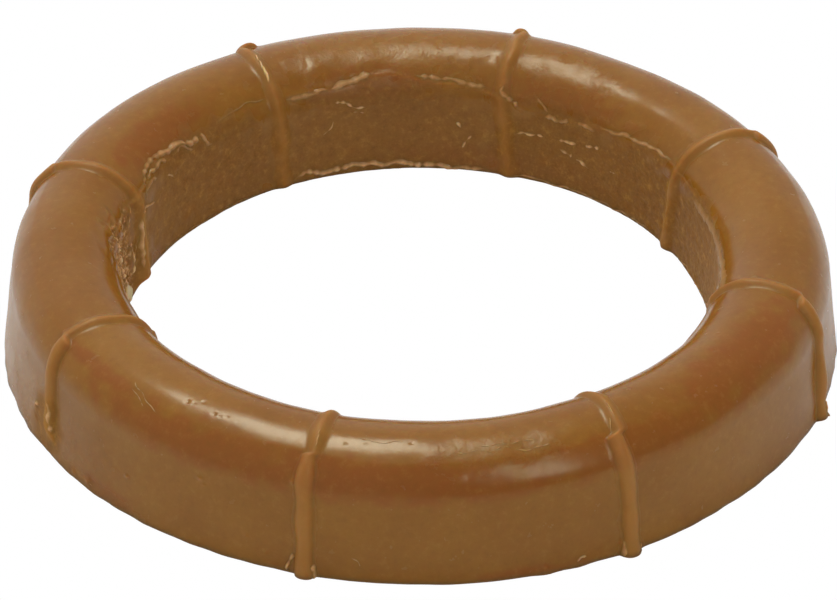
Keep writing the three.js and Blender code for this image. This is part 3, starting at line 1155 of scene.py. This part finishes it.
class Graph:
    """The node tree of a material or of the world."""

    def __init__(self, owner: bpy.types.Material | bpy.types.World) -> None:
        """Clears the owner's node tree to start anew."""
        owner.use_nodes = True
        self.tree = owner.node_tree
        self.tree.nodes.clear()

    def node(self, kind: str, settings: dict[str, Any], inputs: dict[Any, Any]) -> bpy.types.Node:
        """Adds one node.

        Args:
            kind: The node's type.
            settings: Its own settings, set before its sockets.
            inputs: Sockets by name or number, each with a value, a Value or a socket.

        Returns:
            The new node.
        """
        node = self.tree.nodes.new(kind)
        for name, setting in settings.items():
            setattr(node, name, setting)
        for key, given in inputs.items():
            source = given.socket if isinstance(given, Value) else given
            if isinstance(source, bpy.types.NodeSocket):
                self.tree.links.new(source, node.inputs[key])
            else:
                node.inputs[key].default_value = source
        return node

    def value(self, kind: str, settings: dict[str, Any], inputs: dict[Any, Any], output: Any = 0) -> Value:
        """Adds one node and wraps one of its outputs."""
        return Value(self, self.node(kind, settings, inputs).outputs[output])

    def attribute(self, name: str) -> Value:
        """Reads a number that the mesh keeps for each vertex."""
        return self.value("ShaderNodeAttribute", {"attribute_name": name}, {}, "Fac")

    def mix(self, factor: Value | float, first: Any, second: Any) -> Value:
        """Mixes two colours."""
        node = self.node("ShaderNodeMix", {"data_type": "RGBA"}, {0: factor, 6: first, 7: second})
        return Value(self, node.outputs[2])

    def noise(self, where: Value, size: float, detail: float = 2.0, roughness: float = 0.5) -> Value:
        """Cloudy noise whose patches are about a size in millimetres, between 0 and 1."""
        scale = 1.0 / (size * MM)
        inputs = {"Vector": where, "Scale": scale, "Detail": detail, "Roughness": roughness}
        return self.value("ShaderNodeTexNoise", {}, inputs, "Fac")


class WaxSkin:
    """What a wax material reads at each place: the numbers kept on the mesh, and its noises."""

    def __init__(self, graph: Graph) -> None:
        """Adds the nodes that are read."""
        where = graph.value("ShaderNodeTexCoord", {}, {}, "Object")
        self.above_floor = graph.value("ShaderNodeSeparateXYZ", {}, {0: where}, "Z")
        self.bead = graph.attribute("bead")
        self.rough = graph.attribute("rough")
        self.pale = graph.attribute("pale")
        self.ruddy_shade = graph.attribute("ruddy_shade")
        self.lumpy = graph.attribute("lumpy")
        self.cloud = graph.noise(where, 14.0, 3.0)
        self.fleck = graph.noise(where, 1.6, 3.0, 0.55)
        self.mottle = graph.noise(where, 1.3, 3.0, 0.7)
        self.grain = graph.noise(where, 0.42, 3.0, 0.6)


@dataclass(frozen=True)
class WaxFinish:
    """Glossy, slightly translucent amber wax."""

    name: str = "amber_wax"
    body: Colour = (0.336, 0.138, 0.013, 1.0)
    deep: Colour = (0.297, 0.112, 0.01, 1.0)
    # the redder colour painted as shade where the skin lies dim
    ruddy_shade: Colour = (0.305, 0.087, 0.009, 1.0)
    # lighter tone of the mottle and specks, also painted on the beads as light shining through them
    light: Colour = (0.46, 0.213, 0.04, 1.0)
    shade: Colour = (0.2, 0.075, 0.006, 1.0)
    dusty: Colour = (0.26, 0.112, 0.021, 1.0)
    bloom: Colour = (0.78, 0.47, 0.22, 1.0)
    chalk: Colour = (0.76, 0.62, 0.36, 1.0)
    # painted contact shade, darkening the wall just above the floor
    foot_shade: Colour = (0.17, 0.095, 0.02, 1.0)
    sheen_tint: Colour = (1.0, 1.0, 0.72, 1.0)
    roughness: float = 0.2
    refraction: float = 1.45
    scatter: float = 1.6
    scatter_tint: tuple[float, float, float] = (1.0, 0.42, 0.16)
    bump_strength: float = 0.35
    bump_depth: float = 0.25

    def material(self) -> bpy.types.Material:
        """Makes the wax.

        Returns:
            The material, which reads the numbers kept on the wax's vertices.
        """
        material = bpy.data.materials.new(self.name)
        graph = Graph(material)
        skin = WaxSkin(graph)
        bump = graph.node("ShaderNodeBump", {}, {
            "Strength": self.bump_strength,
            "Distance": self.bump_depth * MM,
            "Height": self._relief(skin),
        })
        shader = graph.node("ShaderNodeBsdfPrincipled", {"subsurface_method": "RANDOM_WALK"}, {
            "Base Color": self._colour(graph, skin),
            "Roughness": self._roughness(skin),
            "IOR": self.refraction,
            "Specular Tint": self.sheen_tint,
            "Subsurface Weight": 1.0,
            "Subsurface Radius": self.scatter_tint,
            "Subsurface Scale": self.scatter * MM,
            "Normal": bump.outputs["Normal"],
        })
        graph.node("ShaderNodeOutputMaterial", {}, {"Surface": shader.outputs[0]})
        return material

    def _colour(self, graph: Graph, skin: WaxSkin) -> Value:
        """Lays each colour over the ones before it, from clear wax to the palest torn edges."""
        marked = 0.28 + 0.55 * skin.rough
        rough_or_lumpy = skin.rough * 0.8 + skin.lumpy * 0.3
        layers = (
            # redder painted shade, and rubbed stretches
            (skin.ruddy_shade * (0.55 + 0.6 * skin.cloud), self.ruddy_shade),
            (skin.rough * 0.85, self.dusty),
            # mottle and specks, strongest where the skin is rough
            (marked * skin.mottle.eased(0.5, 0.25), self.shade),
            (marked * skin.mottle.eased(0.5, 0.75), self.light),
            (marked * skin.grain.eased(0.45, 0.2), self.shade),
            # lighter colour painted on the beads as light shining through them, and painted contact shade at
            # the foot
            ((skin.bead * 0.5).clamped(), self.light),
            (skin.above_floor.eased(1.2 * MM, 0.3 * MM) * 0.75, self.foot_shade),
            # crumbs and uneven cooling
            (rough_or_lumpy * skin.grain.eased(0.5, 0.8) * 0.6, self.light),
            (skin.lumpy * skin.fleck.eased(0.55, 0.35) * 0.5, self.deep),
            # torn wax
            ((skin.pale * (0.45 + 0.9 * skin.grain)).clamped(), self.bloom),
            ((skin.pale - 0.75).clamped(), self.chalk),
        )
        colour = graph.mix(skin.cloud.eased(0.3, 0.7), self.deep, self.body)
        for share, tone in layers:
            colour = graph.mix(share, colour, tone)
        return colour

    def _roughness(self, skin: WaxSkin) -> Value:
        """Dulls the gloss at flecks, on worn skin and on the beads."""
        dulled = 0.08 * skin.fleck.eased(0.45, 0.75) + 0.5 * skin.rough + 0.1 * skin.lumpy
        on_bead = (skin.bead * 8.0).clamped()
        return (self.roughness + dulled + 0.26 * on_bead).clamped()

    def _relief(self, skin: WaxSkin) -> Value:
        """The fine relief of the skin, as a share of the bump's depth."""
        flecks = skin.fleck * (0.25 + 0.9 * skin.lumpy)
        return flecks + skin.grain * (0.6 * skin.rough + 0.35 * skin.lumpy + 0.02)


@dataclass(frozen=True)
class Softbox:
    """A rectangular studio light, placed by the direction that it shines from; sizes are in metres."""

    name: str
    azimuth: float
    elevation: float
    distance: float
    width: float
    height: float
    radiance: float

    def place(self) -> None:
        """Adds the light, aimed at the middle of the ring."""
        azimuth, elevation = math.radians(self.azimuth), math.radians(self.elevation)
        towards = Vector((
            math.sin(azimuth) * math.cos(elevation),
            math.cos(azimuth) * math.cos(elevation),
            math.sin(elevation),
        ))
        lamp = bpy.data.lights.new(self.name, "AREA")
        lamp.shape = "RECTANGLE"
        lamp.size, lamp.size_y = self.width, self.height
        lamp.energy = self.radiance * math.pi * self.width * self.height
        light = bpy.data.objects.new(self.name, lamp)
        light.location = towards * self.distance
        light.rotation_euler = towards.to_track_quat("Z", "Y").to_euler()
        bpy.context.scene.collection.objects.link(light)


@dataclass
class Studio:
    """The floor, the lights, the surroundings and the camera."""

    floor_size: float = 12.0
    eye_distance: float = 639.0
    eye_elevation: float = 34.6
    eye_roll: float = 0.29
    target: tuple[float, float] = (-0.14, 7.08)
    lens: float = 177.76
    sensor_width: float = 36.0
    paper: Colour = (0.8, 0.8, 0.78, 1.0)
    paper_glow: float = 0.09
    surround: float = 0.57
    brighter_far: float = 0.16
    dimmer_right: float = 0.25
    lights: tuple[Softbox, ...] = (
        Softbox("key_softbox", -19.0, 66.0, 1.2, 0.4, 0.46, 9.2),
        Softbox("side_softbox", 145.0, 37.0, 1.2, 0.25, 0.55, 4.2),
        Softbox("ceiling", 0.0, 89.9, 1.2, 0.6, 0.6, 0.3),
    )

    def build(self) -> None:
        """Sets up the whole studio."""
        self._floor()
        self._surroundings()
        for light in self.lights:
            light.place()
        self._camera()
        bpy.context.scene.view_settings.view_transform = "Standard"

    def _floor(self) -> None:
        """Lays the pale floor, which the camera sees as plain white."""
        bpy.ops.object.select_all(action="DESELECT")
        bpy.ops.mesh.primitive_plane_add(size=self.floor_size, location=(0.0, 0.0, 0.0))
        floor = bpy.context.object
        floor.name = "floor"
        material = bpy.data.materials.new("pale_floor")
        graph = Graph(material)
        seen = graph.value("ShaderNodeLightPath", {}, {}, "Is Camera Ray")
        white = graph.node("ShaderNodeEmission", {}, {"Color": WHITE, "Strength": 1.0})
        paper = graph.node("ShaderNodeBsdfDiffuse", {}, {"Color": self.paper})
        glow = graph.node("ShaderNodeEmission", {}, {"Color": WHITE, "Strength": self.paper_glow})
        lit = graph.node("ShaderNodeAddShader", {}, {0: paper.outputs[0], 1: glow.outputs[0]})
        mixed = graph.node("ShaderNodeMixShader", {}, {0: seen, 1: lit.outputs[0], 2: white.outputs[0]})
        graph.node("ShaderNodeOutputMaterial", {}, {"Surface": mixed.outputs[0]})
        floor.data.materials.append(material)

    def _surroundings(self) -> None:
        """Surrounds the scene, brightest at the far left and dimmest at the near right."""
        world = bpy.data.worlds.new("studio")
        bpy.context.scene.world = world
        graph = Graph(world)
        direction = graph.value("ShaderNodeTexCoord", {}, {}, "Generated")
        parts = graph.node("ShaderNodeSeparateXYZ", {}, {0: direction})
        across, away, above = (Value(graph, parts.outputs[k]) for k in range(3))
        far = (away + 0.1 * above).eased(-0.1, 0.7)
        right = across.eased(-0.4, 0.4)
        strength = self.surround + self.brighter_far * far - self.dimmer_right * right
        seen = graph.value("ShaderNodeLightPath", {}, {}, "Is Camera Ray")
        glow = seen + (1.0 - seen) * strength
        background = graph.node("ShaderNodeBackground", {}, {"Color": WHITE, "Strength": glow})
        graph.node("ShaderNodeOutputWorld", {}, {"Surface": background.outputs[0]})

    def _camera(self) -> None:
        """Places the camera at the photograph's viewing angle."""
        elevation = math.radians(self.eye_elevation)
        back = Vector((0.0, -math.cos(elevation), math.sin(elevation)))
        lens = bpy.data.cameras.new("camera")
        lens.lens = self.lens
        lens.sensor_width = self.sensor_width
        camera = bpy.data.objects.new("camera", lens)
        tilt = Euler((math.pi / 2 - elevation, 0.0, 0.0)).to_matrix().to_4x4()
        roll = Matrix.Rotation(math.radians(self.eye_roll), 4, "Z")
        place = (Vector((*self.target, 0.0)) + back * self.eye_distance) * MM
        camera.matrix_world = Matrix.Translation(place) @ tilt @ roll
        bpy.context.scene.collection.objects.link(camera)
        bpy.context.scene.camera = camera


def main() -> None:
    """Builds the studio and the ring with its welts, hides the part that model.glb brought, and gives each
    piece its wax and attaches it to the body.
    """
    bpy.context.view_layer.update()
    Studio().build()
    log.info("studio placed")

    cast = CastRing()
    ring = cast.build()
    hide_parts(NODE)
    log.info("ring cast: %d vertices", len(ring.data.vertices))
    welts = Welts(cast).build()
    log.info("welts raised: %d vertices", len(welts.data.vertices))

    thin_wax = WaxFinish(name="thin_wax", scatter=0.4)
    for piece, finish in ((ring, WaxFinish()), (welts, thin_wax)):
        piece.data.materials.append(finish.material())
        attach(piece, BODY)


if __name__ == "__main__":
    logging.basicConfig(level=logging.INFO, format="%(name)s: %(message)s")
    main()
